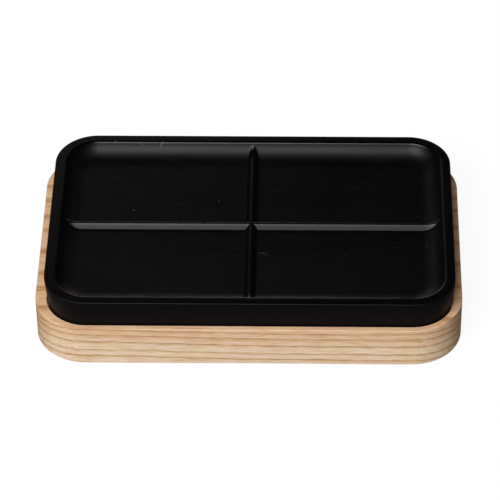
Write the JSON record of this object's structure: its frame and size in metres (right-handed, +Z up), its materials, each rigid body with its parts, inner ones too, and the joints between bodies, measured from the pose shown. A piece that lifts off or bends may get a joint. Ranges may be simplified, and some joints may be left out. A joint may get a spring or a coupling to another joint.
{
  "type": "soap dish",
  "caption": "Soap dish: a matte black coved tray with a raised cross and a flat rim lifts out of a pocket in an ash wood base that stands on small rubber feet.",
  "frame": {"origin": "under the middle of the base, at the height of the surface that the dish stands on", "axes": "+X along the length, to the right in the picture; +Y towards the back; +Z up"},
  "size_m": [0.14, 0.0886, 0.0258],
  "materials": {
    "tray_black": "matte moulded, fine tooth",
    "ash_wood": "oiled, grain along the length",
    "foot_rubber": "matte"
  },
  "bodies": {
    "base": {"base": "ash_wood", "foot_front_left": "foot_rubber", "foot_front_right": "foot_rubber", "foot_back_left": "foot_rubber", "foot_back_right": "foot_rubber"},
    "tray": {"tray": "tray_black"}
  },
  "joints": [
    {"name": "tray_lift", "type": "slide", "parent": "base", "child": "tray", "axis": [0, 0, 1], "range_m": [0, 0.03]}
  ]
}
